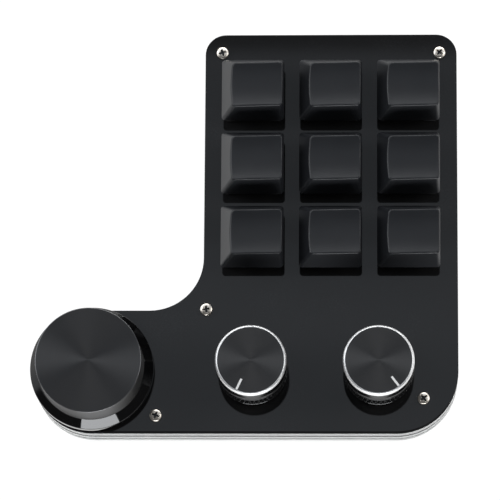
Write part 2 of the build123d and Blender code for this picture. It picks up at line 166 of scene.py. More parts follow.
# Lathe marks: noise read along the distance from the turning axis plus the height
def makeLatheMarks():
    group, given, result = newGroup(
        "latheMarks",
        [("Vector", "Vector", None), ("Lines", "Float", effects["lines"])],
        [("Height", "Float"), ("Tone", "Float")],
    )
    split = group.nodes.new("ShaderNodeSeparateXYZ")
    group.links.new(given.outputs["Vector"], split.inputs[0])
    flat = group.nodes.new("ShaderNodeCombineXYZ")
    for axis in "XY":
        group.links.new(split.outputs[axis], flat.inputs[axis])
    reach = group.nodes.new("ShaderNodeVectorMath")
    reach.operation = "LENGTH"
    group.links.new(flat.outputs[0], reach.inputs[0])
    along = mathNode(group, "ADD", reach.outputs["Value"], split.outputs["Z"])
    for label, detail, share in effects["latheRows"]:
        lines = group.nodes.new("ShaderNodeTexNoise")
        lines.noise_dimensions = "1D"
        lines.inputs["Detail"].default_value = detail
        group.links.new(along, lines.inputs["W"])
        group.links.new(mathNode(group, "MULTIPLY", given.outputs["Lines"], share), lines.inputs["Scale"])
        group.links.new(lines.outputs["Fac"], result.inputs[label])
    return group


# Handling marks and dust: soft patches times fine specks, eased into a mask
def makeDust():
    group, given, result = newGroup(
        "softDust",
        [("Vector", "Vector", None), ("Amount", "Float", effects["dustAmount"])],
        [("Mask", "Float")],
    )
    patch = noiseNode(group, given.outputs["Vector"], effects["patchScale"], effects["patchDetail"])
    speck = noiseNode(group, given.outputs["Vector"], effects["speckScale"], effects["speckDetail"])
    ease = group.nodes.new("ShaderNodeMapRange")
    ease.inputs["From Min"].default_value, ease.inputs["From Max"].default_value = effects["dustSpan"]
    group.links.new(mathNode(group, "MULTIPLY", patch, speck), ease.inputs["Value"])
    mask = mathNode(group, "MULTIPLY", ease.outputs["Result"], given.outputs["Amount"])
    group.links.new(mask, result.inputs["Mask"])
    return group


grainGroup, latheGroup, dustGroup = makeGrain(), makeLatheMarks(), makeDust()


def newFinish(name, **constants):
    material = bpy.data.materials.new(name)
    material.use_nodes = True
    shader = material.node_tree.nodes["Principled BSDF"]
    for label, value in constants.items():
        shader.inputs[label.replace("_", " ")].default_value = value
    return material, material.node_tree, shader


def objectPlace(tree, centre=None):
    place = tree.nodes.new("ShaderNodeTexCoord").outputs["Object"]
    if centre is None:
        return place
    shift = tree.nodes.new("ShaderNodeMapping")
    shift.inputs["Location"].default_value = (-centre[0], -centre[1], -centre[2])
    tree.links.new(place, shift.inputs["Vector"])
    return shift.outputs["Vector"]


def groupNode(tree, group, vector, **values):
    node = tree.nodes.new("ShaderNodeGroup")
    node.node_tree = group
    tree.links.new(vector, node.inputs["Vector"])
    for label, value in values.items():
        node.inputs[label.replace("_", " ")].default_value = value
    return node


def mixTones(tree, shader, factor, first, second):
    mix = tree.nodes.new("ShaderNodeMix")
    mix.data_type = "RGBA"
    mix.inputs["A"].default_value = (*first, 1)
    mix.inputs["B"].default_value = (*second, 1)
    tree.links.new(factor, mix.inputs["Factor"])
    tree.links.new(mix.outputs["Result"], shader.inputs["Base Color"])


def spreadRoughness(tree, shader, factor, low, high):
    span = tree.nodes.new("ShaderNodeMapRange")
    span.inputs["To Min"].default_value = low
    span.inputs["To Max"].default_value = high
    tree.links.new(factor, span.inputs["Value"])
    tree.links.new(span.outputs["Result"], shader.inputs["Roughness"])


def addBump(tree, shader, height, strength, distance):
    bump = tree.nodes.new("ShaderNodeBump")
    bump.inputs["Strength"].default_value = strength
    bump.inputs["Distance"].default_value = distance
    tree.links.new(height, bump.inputs["Height"])
    tree.links.new(bump.outputs["Normal"], shader.inputs["Normal"])


# Moulded plastics, rubber, resin, board and plated metal: grain for the bump, a cloud for tone and sheen
def mouldedFinish(name, tones, rough, grain, bump, cloud=effects["cloudScale"], **constants):
    material, tree, shader = newFinish(name, **constants)
    marks = groupNode(tree, grainGroup, objectPlace(tree), Scale=grain, Cloud_Scale=cloud)
    mixTones(tree, shader, marks.outputs["Cloud"], *tones)
    spreadRoughness(tree, shader, marks.outputs["Cloud"], *rough)
    addBump(tree, shader, marks.outputs["Height"], *bump)
    return material


# Black sheet acrylic: a mirror-flat face with faint handling marks and a trace of dust
def sheetFinish(name, tones, rough, dust, **constants):
    material, tree, shader = newFinish(name, **constants)
    specks = groupNode(tree, dustGroup, objectPlace(tree), Amount=dust)
    mixTones(tree, shader, specks.outputs["Mask"], *tones)
    spreadRoughness(tree, shader, specks.outputs["Mask"], *rough)
    return material


# Clear sheet acrylic: a frosted cut edge with slow changes of tone and sheen
def clearFinish(name, tones, rough, grain, cloud, **constants):
    material, tree, shader = newFinish(name, **constants)
    marks = groupNode(tree, grainGroup, objectPlace(tree), Scale=grain, Cloud_Scale=cloud)
    mixTones(tree, shader, marks.outputs["Cloud"], *tones)
    spreadRoughness(tree, shader, marks.outputs["Cloud"], *rough)
    return material


# Turned metal: lathe marks about the piece's own axis, its gloss smeared across them
def turnedFinish(name, centre, tones, rough, lines, bump, smear, **constants):
    material, tree, shader = newFinish(name, Anisotropic=smear, **constants)
    marks = groupNode(tree, latheGroup, objectPlace(tree, centre), Lines=lines)
    mixTones(tree, shader, marks.outputs["Tone"], *tones)
    spreadRoughness(tree, shader, marks.outputs["Tone"], *rough)
    addBump(tree, shader, marks.outputs["Height"], *bump)
    tangent = tree.nodes.new("ShaderNodeTangent")
    tangent.direction_type = "UV_MAP"
    tangent.uv_map = "turning"
    tree.links.new(tangent.outputs["Tangent"], shader.inputs["Tangent"])
    return material


# Recipes: tones and roughness between two ends, noise per metre, bump as strength and depth in metres.
# A name with a capital is one of the shader's own sockets.
blackSheet = dict(
    tones=((0.0165, 0.0165, 0.017), (0.0415, 0.0415, 0.0435)), rough=(0.05, 0.14), dust=0.3, IOR=1.49,
)
clearSheet = dict(
    tones=((0.965, 0.985, 0.975), (0.93, 0.96, 0.945)), rough=(0.14, 0.24),
    grain=2000.0, cloud=220.0, IOR=1.49, Transmission_Weight=0.75,
)
moulded = {
    # Painted shade: a dark matt strip where the clear layers meet, standing in for the shadow line there
    "seamShade": dict(
        tones=((0.02, 0.02, 0.019), (0.04, 0.04, 0.038)), rough=(0.6, 0.7),
        grain=3000.0, bump=(0.1, 0.00002), Specular_IOR_Level=0.0,
    ),
    "plateEdge": dict(
        tones=((0.028, 0.028, 0.029), (0.04, 0.04, 0.042)), rough=(0.5, 0.62),
        grain=3000.0, bump=(0.1, 0.00002), Specular_IOR_Level=0.0,
    ),
    "capPlastic": dict(
        tones=((0.0092, 0.0102, 0.0125), (0.0138, 0.0152, 0.018)), rough=(0.36, 0.44),
        grain=5200.0, bump=(0.10, 0.00002),
    ),
    "switchPlastic": dict(
        tones=((0.014, 0.014, 0.015), (0.022, 0.022, 0.023)), rough=(0.42, 0.55),
        grain=4200.0, bump=(0.15, 0.00003),
    ),
    "stemPlastic": dict(
        tones=((0.40, 0.035, 0.03), (0.48, 0.05, 0.04)), rough=(0.3, 0.42),
        grain=4200.0, bump=(0.1, 0.00003),
    ),
    "wheelPlastic": dict(
        tones=((0.52, 0.5, 0.44), (0.6, 0.58, 0.52)), rough=(0.35, 0.5),
        grain=3800.0, bump=(0.1, 0.00003),
    ),
    "chipResin": dict(
        tones=((0.012, 0.012, 0.013), (0.025, 0.025, 0.027)), rough=(0.5, 0.68),
        grain=7000.0, bump=(0.3, 0.00003),
    ),
    "boardMask": dict(
        tones=((0.006, 0.010, 0.008), (0.012, 0.018, 0.015)), rough=(0.22, 0.34),
        grain=1500.0, bump=(0.2, 0.00004), cloud=300.0,
    ),
    "footRubber": dict(
        tones=((0.016, 0.016, 0.016), (0.03, 0.03, 0.029)), rough=(0.7, 0.86),
        grain=2600.0, bump=(0.5, 0.00006),
    ),
    "whiteInlay": dict(
        tones=((0.84, 0.84, 0.83), (0.92, 0.92, 0.91)), rough=(0.4, 0.5),
        grain=5000.0, bump=(0.1, 0.00002),
    ),
    "brass": dict(
        tones=((0.62, 0.43, 0.16), (0.74, 0.54, 0.24)), rough=(0.24, 0.38),
        grain=3000.0, bump=(0.12, 0.00002), Metallic=1.0,
    ),
    "nickel": dict(
        tones=((0.66, 0.64, 0.60), (0.78, 0.76, 0.72)), rough=(0.16, 0.27),
        grain=2500.0, bump=(0.12, 0.00002), Metallic=1.0,
    ),
    "screwBright": dict(
        tones=((0.93, 0.865, 0.775), (0.98, 0.91, 0.815)), rough=(0.28, 0.38),
        grain=2500.0, bump=(0.12, 0.00002), Metallic=1.0,
    ),
    # Dark steel for screw_steel parts, and painted shade on the deep faces of the screws' cross recesses
    "screwSteelAndRecessShade": dict(
        tones=((0.06, 0.06, 0.062), (0.1, 0.1, 0.104)), rough=(0.32, 0.45),
        grain=3000.0, bump=(0.15, 0.00002), Metallic=1.0,
    ),
    "shaftMetal": dict(
        tones=((0.60, 0.60, 0.61), (0.7, 0.7, 0.71)), rough=(0.25, 0.36),
        grain=3000.0, bump=(0.12, 0.00002), Metallic=1.0,
    ),
    "springSteel": dict(
        tones=((0.5, 0.5, 0.5), (0.62, 0.62, 0.62)), rough=(0.25, 0.35),
        grain=3000.0, bump=(0.12, 0.00002), Metallic=1.0,
    ),
}
finishes = {name: mouldedFinish(name, **recipe) for name, recipe in moulded.items()}
finishes["blackAcrylic"] = sheetFinish("blackAcrylic", **blackSheet)
finishes["clearAcrylic"] = clearFinish("clearAcrylic", **clearSheet)
print("finishes made:", len(finishes))

# The record's material slots and the finish that each one gets
slotFinish = {
    "black_acrylic": "blackAcrylic", "clear_acrylic": "clearAcrylic", "brass": "brass", "nickel": "nickel",
    "foot_rubber": "footRubber", "board_laminate": "boardMask", "chip_resin": "chipResin",
    "switch_plastic": "switchPlastic", "wheel_plastic": "wheelPlastic", "shaft_metal": "shaftMetal",
    "screw_steel": "screwSteelAndRecessShade", "white_inlay": "whiteInlay", "cap_plastic": "capPlastic",
    "stem_plastic": "stemPlastic", "spring_steel": "springSteel",
}


# A node gets its finish by its slot. The three knobs are left out, because their pieces bring their own.
def dressNodes():
    dressed = [name for name in nodes if slotOf[name] in slotFinish]
    for name in dressed:
        materials = nodes[name].data.materials
        materials.clear()
        materials.append(finishes[slotFinish[slotOf[name]]])
    print("nodes dressed:", len(dressed), "of", len(nodes))


dressNodes()


# Care of a new mesh: the reach of doubles, then the bends taken as flat and as sharp, in degrees
meshCare = {"mergeReach": 1e-7, "flatBend": 0.2, "sharpBend": 32}


# Mesh of a grid of rings: rows of points joined by quads, each row closed on itself
def ringMesh(grids, zones=None):
    points, faces, maps, start = [], [], [], 0
    for grid in grids:
        rows, count = grid.shape[:2]
        row, col = np.meshgrid(np.arange(rows - 1), np.arange(count), indexing="ij")
        here = row * count + col
        beside = row * count + (col + 1) % count
        quad = np.stack([here, beside, beside + count, here + count], -1)
        across = np.stack([row, row, row + 1, row + 1], -1) / (rows - 1)
        around = np.stack([col, col + 1, col + 1, col], -1) / count
        faces.append(quad.reshape(-1, 4) + start)
        maps.append(np.stack([across, around], -1).reshape(-1, 2))
        points.append(grid.reshape(-1, 3))
        start += rows * count
    mesh = bpy.data.meshes.new("piece")
    mesh.from_pydata(np.concatenate(points).tolist(), [], np.concatenate(faces).tolist())
    layer = mesh.uv_layers.new(name="turning")
    layer.data.foreach_set("uv", np.concatenate(maps).ravel())
    if zones is not None:
        sizes = [(grid.shape[0] - 1, grid.shape[1]) for grid in grids]
        spread = [np.broadcast_to(zone.reshape(len(zone), -1), size) for zone, size in zip(zones, sizes)]
        slots = np.concatenate([zone.ravel() for zone in spread]).astype(np.int32)
        mesh.polygons.foreach_set("material_index", slots)
    return mesh


# Poles and seams merged, then faces turned outwards, or flat runs of triangles joined
def closeMesh(mesh, flatten=False):
    work = bmesh.new()
    work.from_mesh(mesh)
    bmesh.ops.remove_doubles(work, verts=work.verts, dist=meshCare["mergeReach"])
    if flatten:
        flat = math.radians(meshCare["flatBend"])
        bmesh.ops.dissolve_limit(work, angle_limit=flat, verts=work.verts, edges=work.edges)
    else:
        bmesh.ops.recalc_face_normals(work, faces=work.faces)
    work.to_mesh(mesh)
    work.free()


# A finished piece, smooth but for its sharp edges
def finishPiece(name, mesh, materials, body, replaced, sharp=meshCare["sharpBend"]):
    mesh.polygons.foreach_set("use_smooth", np.ones(len(mesh.polygons), bool))
    mesh.set_sharp_from_angle(angle=math.radians(sharp))
    for material in materials:
        mesh.materials.append(material)
    mesh.name = name
    piece = bpy.data.objects.new(name, mesh)
    bpy.context.scene.collection.objects.link(piece)
    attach(piece, body)
    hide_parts(*replaced)
    return piece


# A ring of points at one height
def levelRing(x, y, z):
    return np.stack([x, y, np.full_like(x, z)], -1)


# Rings about the axis: each radius, a number or one for every angle, carried round at its height
def roundRings(rings, angle):
    return np.stack([levelRing(r * np.cos(angle), r * np.sin(angle), z) for r, z in rings])


# A quadratic curve from one point to another, drawn towards the corner between them
def bend(before, corner, after, t):
    return before * (1 - t) ** 2 + corner * 2 * t * (1 - t) + after * t * t


# Keycap: its wall runs straight from the base outline to the top outline and ends on the dished top.
# The long slope faces -X, the top is tilted about Y and hollowed across Y, every edge is rounded over.
capShape = {
    "baseHalf": 9.05, "baseCorner": 1.0, "topLeft": -5.7, "topRight": 8.75, "topHalf": 6.45, "topCorner": 1.1,
    "leftHeight": 6.6, "rightHeight": 7.8, "dishDepth": 0.9, "edgeRound": 0.5,
    "wall": 1.2, "innerTop": 5.0, "innerCorner": 0.6,
    "cornerSteps": 9, "sideSteps": 10, "wallRings": 7, "edgeRings": 6, "topRings": 12,
    "hold": 0.02, "fitSteps": 8,
    "socketRadius": 2.8, "socketBottom": 0.6, "crossHalf": 2.05, "crossThick": 0.65, "crossDepth": 4.3,
}


# Shares from 0 to 1 with one close step at each end, so that flats stay flat up to their rounded edges
def heldShares(count):
    hold = capShape["hold"]
    return np.concatenate([[0, hold], np.linspace(0, 1, count - 2)[1:-1], [1 - hold, 1]])


# A rectangle with round corners: four quarter arcs joined by straight sides
def roundedLoop(halfX, halfY, corner, shift):
    quarter = np.linspace(0, 90, capShape["cornerSteps"] + 1)[None]
    angle = np.radians(90 * np.arange(4)[:, None] + quarter)
    signX, signY = np.array([1, -1, -1, 1])[:, None], np.array([1, 1, -1, -1])[:, None]
    arcX = signX * (halfX - corner) + corner * np.cos(angle)
    arcY = signY * (halfY - corner) + corner * np.sin(angle)
    share = heldShares(capShape["sideSteps"] + 1)[1:-1][None]

    def withSides(arc):
        ahead = np.roll(arc[:, :1], -1, axis=0)
        return np.concatenate([arc, arc[:, -1:] * (1 - share) + ahead * share], axis=1).ravel()

    return withSides(arcX) + shift, withSides(arcY)


# Height of the cap's top: a plane that rises along X, less a parabola across Y
def capTop(x, y):
    c = capShape
    rise = (c["rightHeight"] - c["leftHeight"]) / (c["topRight"] - c["topLeft"])
    plane = c["leftHeight"] + rise * (x - c["topLeft"])
    return plane - c["dishDepth"] * np.clip(1 - (y / c["topHalf"]) ** 2, 0, None)


# The cap's rings: from its ceiling down the inner wall, up the outer wall, over the edge to the middle
def capGrid():
    c = capShape
    middle, half = (c["topRight"] + c["topLeft"]) / 2, (c["topRight"] - c["topLeft"]) / 2
    baseX, baseY = roundedLoop(c["baseHalf"], c["baseHalf"], c["baseCorner"], 0)
    headX, headY = roundedLoop(half, c["topHalf"], c["topCorner"], middle)
    headZ = capTop(headX, np.full_like(headY, c["topHalf"]))
    reach = np.ones_like(headX)
    for step in range(c["fitSteps"]):  # how far up its slope each point meets the dished top
        atX, atY = baseX + (headX - baseX) * reach, baseY + (headY - baseY) * reach
        reach = reach - (reach * headZ - capTop(atX, atY)) / headZ
    base = levelRing(baseX, baseY, 0)
    edge = np.stack([atX, atY, capTop(atX, atY)], -1)
    centre = np.array([middle, 0.0])

    def onTop(share):
        flat = centre + (edge[:, :2] - centre) * share[:, None]
        return np.concatenate([flat, capTop(flat[:, 0], flat[:, 1])[:, None]], axis=1)

    slope = edge - base
    back = (c["edgeRound"] / np.linalg.norm(slope, axis=1))[:, None]
    inward = 1 - c["edgeRound"] / np.linalg.norm(edge[:, :2] - centre, axis=1)
    walls = [base + slope * (1 - back) * t for t in heldShares(c["wallRings"])]
    bends = [bend(walls[-1], edge, onTop(inward), t) for t in np.linspace(0, 1, c["edgeRings"])[1:]]
    tops = [onTop(inward * (1 - s)) for s in heldShares(c["topRings"])[1:]]

    inset = c["baseHalf"] - c["wall"]
    innerX, innerY = roundedLoop(inset, inset, c["innerCorner"], 0)
    ceilX, ceilY = roundedLoop(half - c["wall"], c["topHalf"] - c["wall"], c["innerCorner"], middle)
    taper = c["innerTop"] * 2 / (c["leftHeight"] + c["rightHeight"])
    ceilX, ceilY = innerX + (ceilX - innerX) * taper, innerY + (ceilY - innerY) * taper
    ceiling = levelRing(ceilX, ceilY, c["innerTop"])
    pole = np.broadcast_to([middle, 0.0, c["innerTop"]], ceiling.shape)
    return np.stack([pole, ceiling, levelRing(innerX, innerY, 0), *walls, *bends, *tops])


# The socket under the cap: a round post, its hole a plus sign read as a radius round the axis
def socketGrid():
    c = capShape
    corner = math.atan2(c["crossThick"], c["crossHalf"])
    quarter = np.array([-corner, -corner / 2, 0, corner / 2, corner, math.pi / 4])
    angle = (quarter[None] + np.radians(90) * np.arange(4)[:, None]).ravel()
    local = np.abs((angle + math.pi / 4) % (math.pi / 2) - math.pi / 4)
    arm = c["crossHalf"] / np.cos(local)
    pit = c["crossThick"] / np.sin(np.maximum(local, tiny))
    hole = np.where(local <= corner + tiny, arm, pit)
    rings = [(0.0, c["innerTop"]), (c["socketRadius"], c["innerTop"]), (c["socketRadius"], c["socketBottom"]),
             (hole, c["socketBottom"]), (hole, c["crossDepth"]), (0.0, c["crossDepth"])]
    return roundRings(rings, angle)


def makeKeycaps():
    grids = [capGrid() * mm, socketGrid() * mm]
    for node in sorted(n for n in nodes if n.startswith("keycap_")):
        low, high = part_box(node)
        place = np.array([(low.x + high.x) / 2, (low.y + high.y) / 2, low.z])
        mesh = ringMesh([g + place for g in grids])
        closeMesh(mesh)
        name = node.replace("keycap", "cap")
        finishPiece(name, mesh, [finishes["capPlastic"]], bodyOf[node], [node])
    print("keycaps made")


makeKeycaps()


# The upright axis through a node, at the cover's face
def axisOf(node):
    low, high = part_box(node)
    return (low.x + high.x) / 2, (low.y + high.y) / 2, plateTop


# Revolved pieces: a profile of radius and height carried round the axis, less a groove where there is one
def turnProfile(profile, axis, count, groove=None):
    radius, height = profile[:, :1], profile[:, 1:2]
    angle = np.linspace(0, 2 * math.pi, count, endpoint=False)[None]
    cut = 0 if groove is None else groove(profile, angle)
    grid = np.stack([(radius - cut) * np.cos(angle), (radius - cut) * np.sin(angle), height + 0 * angle], -1)
    return grid * mm + np.array(axis)


# A round-over between two straight runs of a profile
def roundOver(before, corner, after, steps):
    t = np.linspace(0, 1, steps)[:, None]
    return bend(*(np.array(p, float) for p in (before, corner, after)), t)


# Joins runs of a profile, and lists which material the faces of each run get
def joinRuns(*runs):
    zones = np.concatenate([np.full(len(points), zone) for zone, points in runs])[:-1]
    return np.concatenate([np.asarray(points, float).reshape(-1, 2) for zone, points in runs]), zones


# Small knob, heights above the cover: bored underside, foot, knurl, bead, conical neck, bright rim, face
smallKnob = {
    "radius": 10.15, "bottom": 1.8, "top": 18.0, "edge": 0.3, "edgeSteps": 4, "around": 480, "sharpBend": 40,
    "recess": 7.0, "recessTop": 7.5, "bore": 5.02, "boreTop": 13.5, "foot": 0.75, "footStep": 0.12,
    "knurls": 48, "knurlDepth": 0.32, "knurlFoot": 0.02, "knurlFade": 0.25, "knurlRows": 9, "ridgePower": 0.7,
    "bead": 0.18, "beadSink": 0.4, "beadArc": (-90, 80), "beadSteps": 8,
    "neckLow": 9.8, "neckSlope": 0.25, "neckStart": 0.01, "neckSteps": 9, "brimRound": 0.08, "brimGap": 0.02,
    "rimWidth": 0.68, "rimHeight": 1.3, "rimEdge": 0.3, "rimSteps": 12,
    "faceDrop": 0.06, "faceInsets": (0.06, 0.1, 0.14), "faceSteps": 10,
    "finish": {
        "Wall": dict(
            tones=((0.003, 0.003, 0.0032), (0.006, 0.006, 0.0063)), rough=(0.10, 0.16),
            lines=9000.0, bump=(0.05, 0.00002), smear=0.0, Specular_IOR_Level=0.5,
        ),
        "Rim": dict(
            tones=((0.95, 0.95, 0.95), (0.98, 0.98, 0.98)), rough=(0.4, 0.5),
            lines=14000.0, bump=(0.1, 0.00001), smear=0.2, Metallic=1.0,
        ),
        "Face": dict(
            tones=((0.010, 0.010, 0.0105), (0.016, 0.016, 0.017)), rough=(0.3, 0.4),
            lines=16000.0, bump=(0.25, 0.00001), smear=0.85, Specular_IOR_Level=0.8,
        ),
    },
}


# Knurl: a row of rounded ridges round the wall, cut square on the foot and faded out under the bead
def knurlCut(profile, angle):
    k = smallKnob
    radius, height = profile[:, :1], profile[:, 1:2]
    low, high = k["bottom"] + k["foot"], k["neckLow"] - 2 * k["bead"]
    fade = np.clip(np.minimum((height - low) / k["knurlFoot"], (high - height) / k["knurlFade"]), 0, 1)
    fade = fade * (np.abs(radius - k["radius"] + k["footStep"]) < tiny)
    ridge = np.abs(np.cos(angle * k["knurls"] / 2))
    return k["knurlDepth"] * fade * (1 - ridge ** k["ridgePower"])


# The runs go from the top of the bore outwards, up the wall and over the rim to the middle of the face
def smallKnobProfile():
    k = smallKnob
    r, low, top, e, b, step = (k[n] for n in ("radius", "bottom", "top", "edge", "bead", "footStep"))
    rimLow, rimIn, neckLow = top - k["rimHeight"], r - k["rimWidth"], k["neckLow"]
    face, neckTop = top - k["faceDrop"], rimLow - k["rimEdge"]
    under = [(0, k["boreTop"]), (k["bore"], k["boreTop"]), (k["bore"], k["recessTop"]),
             (k["recess"], k["recessTop"]), (k["recess"], low), (r - e, low)]
    foot = [*roundOver((r - e, low), (r, low), (r, low + e), k["edgeSteps"]), (r, low + k["foot"] - step)]
    knurlLow, knurlHigh = low + k["foot"], neckLow - 2 * b
    runs = np.linspace(knurlLow + k["knurlFoot"], knurlHigh - k["knurlFade"], k["knurlRows"])
    wall = [(r - step, z) for z in (knurlLow, *runs, knurlHigh)]
    swell = np.radians(np.linspace(*k["beadArc"], k["beadSteps"] + 1))
    sunk = r - b * k["beadSink"]
    bead = np.stack([sunk + b * np.cos(swell), neckLow - b + b * np.sin(swell)], -1)
    waist = r - k["neckSlope"] * (neckTop - neckLow)
    climb = np.linspace(k["neckStart"], 1, k["neckSteps"])
    neck = [(sunk + (waist - r) * s, neckLow + (neckTop - neckLow) * s) for s in climb]
    brim = [(r - k["brimRound"], neckTop), (r, neckTop + k["brimRound"]), (r, rimLow - k["brimGap"])]
    turn = np.radians(np.linspace(0, 90, k["rimSteps"] + 1))
    rim = np.stack([rimIn + k["rimWidth"] * np.cos(turn), rimLow + k["rimHeight"] * np.sin(turn)], -1)
    lip, drop, flat = k["faceInsets"]
    disc = [(rimIn - lip, top), (rimIn - drop, face)]
    disc += [(s * (rimIn - flat), face) for s in np.linspace(1, 0, k["faceSteps"])]
    return joinRuns((0, under), (0, foot), (0, wall), (0, bead), (0, neck), (0, brim), (1, rim), (2, disc))


def makeSmallKnobs():
    profile, zones = smallKnobProfile()
    for side in ("left", "right"):
        axis = axisOf(f"{side}_shaft")
        mesh = ringMesh([turnProfile(profile, axis, smallKnob["around"], knurlCut)], [zones])
        closeMesh(mesh)
        recipes = {f"{side}Knob{part}": recipe for part, recipe in smallKnob["finish"].items()}
        metals = [turnedFinish(name, axis, **recipe) for name, recipe in recipes.items()]
        node, sharp = f"{side}_knob", smallKnob["sharpBend"]
        finishPiece(f"{side}KnobTurned", mesh, metals, bodyOf[node], [node], sharp)
    print("small knobs made")


makeSmallKnobs()


# Large knob, heights above the cover: a nearly straight wall on a polished skirt, a fine bright line on top
deepBlack = ((0.002, 0.002, 0.0022), (0.004, 0.004, 0.0043))
largeKnob = {
    "baseRadius": 17.7, "bottom": 2.0, "edgeTop": 4.5, "wallRadius": 15.2, "skirtTop": 7.0,
    "shoulderRadius": 15.05, "top": 18.0, "baseEdge": 0.3, "skirtEdge": 0.12, "topEdge": 0.2,
    "edgeSteps": 5, "seamSteps": 4, "skirtStart": 1.1, "skirtSteps": 8,
    "wallSpan": (0.03, 0.985), "wallSteps": 10, "lipSink": 0.02, "faceInset": 0.05, "faceSteps": 14,
    "recessOuter": 13.0, "recessInner": 7.5, "recessTop": 6.6, "bore": 4.0, "boreTop": 7.5,
    "shaftHole": 3.05, "holeTop": 13.5, "around": 320, "sharpBend": 24,
    "screwHeight": 10.6, "screwHole": 1.55, "screwReach": 25.0, "screwAround": 48,
    "under": dict(tones=deepBlack, rough=(0.35, 0.5), grain=4000.0, bump=(0.1, 0.00002)),
    "finish": {
        "Skirt": dict(
            tones=deepBlack, rough=(0.03, 0.06),
            lines=9000.0, bump=(0.02, 0.00001), smear=0.0, Specular_IOR_Level=0.5,
        ),
        "Wall": dict(
            tones=deepBlack, rough=(0.36, 0.42),
            lines=9000.0, bump=(0.1, 0.00001), smear=0.9, Specular_IOR_Level=1.0,
        ),
        "Lip": dict(
            tones=((0.14, 0.14, 0.143), (0.2, 0.2, 0.205)), rough=(0.25, 0.35),
            lines=9000.0, bump=(0.1, 0.00001), smear=0.6, Metallic=1.0,
        ),
        "Face": dict(
            tones=((0.0055, 0.0055, 0.0062), (0.0095, 0.0095, 0.0106)), rough=(0.3, 0.4),
            lines=16000.0, bump=(0.25, 0.00001), smear=0.85, Specular_IOR_Level=0.8,
        ),
    },
}


# The runs go from the top of the bore outwards, up the leaning skirt and the wall to the middle of the face
def largeKnobProfile():
    k = largeKnob
    base, low, top, edge, neck = (k[n] for n in ("baseRadius", "bottom", "top", "edgeTop", "skirtTop"))
    shoulder, wallR = k["shoulderRadius"], k["wallRadius"]
    e, t, b = k["baseEdge"], k["topEdge"], k["skirtEdge"]
    under = [(0, k["holeTop"]), (k["shaftHole"], k["holeTop"]), (k["shaftHole"], k["boreTop"]),
             (k["bore"], k["boreTop"]), (k["bore"], low), (k["recessInner"], low),
             (k["recessInner"], k["recessTop"]), (k["recessOuter"], k["recessTop"]), (k["recessOuter"], low),
             (base - e, low)]
    foot = roundOver((base - e, low), (base, low), (base, low + e), k["edgeSteps"])
    lean = (base - wallR) / (neck - edge)
    brink = roundOver((base, edge - b), (base, edge), (base - b * lean, edge + b), k["edgeSteps"])
    climb = np.linspace(b * k["skirtStart"], neck - edge - b, k["skirtSteps"])
    skirt = [(base - lean * s, edge + s) for s in climb]
    seam = roundOver((wallR + b * lean, neck - b), (wallR, neck), (wallR, neck + b), k["seamSteps"])
    rise = np.linspace(*k["wallSpan"], k["wallSteps"])
    wall = [(wallR + (shoulder - wallR) * s, neck + (top - t - neck) * s) for s in rise]
    sink = k["lipSink"]
    lip = roundOver((shoulder, top - t), (shoulder - sink, top - sink), (shoulder - t, top), k["edgeSteps"])
    disc = [(s * (shoulder - t - k["faceInset"]), top) for s in np.linspace(1, 0, k["faceSteps"])]
    return joinRuns((0, under), (1, foot), (1, brink), (1, skirt), (1, seam), (2, wall), (3, lip), (4, disc))


# The set-screw hole, cut by a round bar that runs out from the axis along Y
def boreHole(mesh, axis):
    k = largeKnob
    angle = np.linspace(0, 2 * math.pi, k["screwAround"], endpoint=False)
    rings = [(0.0, 0.0), (k["screwHole"], 0.0), (k["screwHole"], k["screwReach"]), (0.0, k["screwReach"])]
    bar = roundRings(rings, angle)[..., [0, 2, 1]] + np.array([0, 0, k["screwHeight"]])
    cutterMesh = ringMesh([bar * mm + np.array(axis)])
    closeMesh(cutterMesh)
    target = bpy.data.objects.new("boreTarget", mesh)
    cutter = bpy.data.objects.new("boreCutter", cutterMesh)
    for part in (target, cutter):
        bpy.context.scene.collection.objects.link(part)
    cut = target.modifiers.new("bore", "BOOLEAN")
    cut.operation, cut.object, cut.solver = "DIFFERENCE", cutter, "EXACT"
    graph = bpy.context.evaluated_depsgraph_get()
    bored = target.evaluated_get(graph)
    result = bpy.data.meshes.new_from_object(bored, preserve_all_data_layers=True, depsgraph=graph)
    for part in (target, cutter):
        bpy.data.objects.remove(part)
    return result


def makeLargeKnob():
    axis = axisOf("jog_shaft")
    profile, zones = largeKnobProfile()
    mesh = ringMesh([turnProfile(profile, axis, largeKnob["around"])], [zones])
    closeMesh(mesh)
    mesh.materials.append(mouldedFinish("largeKnobUnder", **largeKnob["under"]))
    for part, recipe in largeKnob["finish"].items():
        mesh.materials.append(turnedFinish(f"largeKnob{part}", axis, **recipe))
    mesh = boreHole(mesh, axis)
    node, sharp = "jog_knob", largeKnob["sharpBend"]
    finishPiece("largeKnobTurned", mesh, [], bodyOf[node], [node], sharp)
    print("large knob made")


makeLargeKnob()


# Screws: a domed pan head with a tapered cross recess, on a plain shank, each at its own place and turn
screwShape = {
    "headRadius": 1.75, "headHeight": 1.3, "dome": 0.32, "domePower": 2.4,
    "crownInset": 0.12, "ringPower": 0.8, "armLength": 1.15, "armWidth": 0.3,
    "armTaper": 0.35, "armSide": 0.08, "armEnd": 0.45, "recessDepth": 0.8,
    "rimSteps": ((0.04, 0.1), (0.0, 0.25)), "shank": 0.95, "grip": 6.4, "tip": 0.3,
    "shadedDepth": 0.35, "rings": 26, "around": 96, "sharpBend": 50,
    "places": ((-7.0, 53.2), (56.3, 53.2), (-11.113, -23.182), (-25.4, -54.1), (51.3, -49.1)),
    "turns": (0.35, 0.9, 0.1, 1.2, 0.65),
}
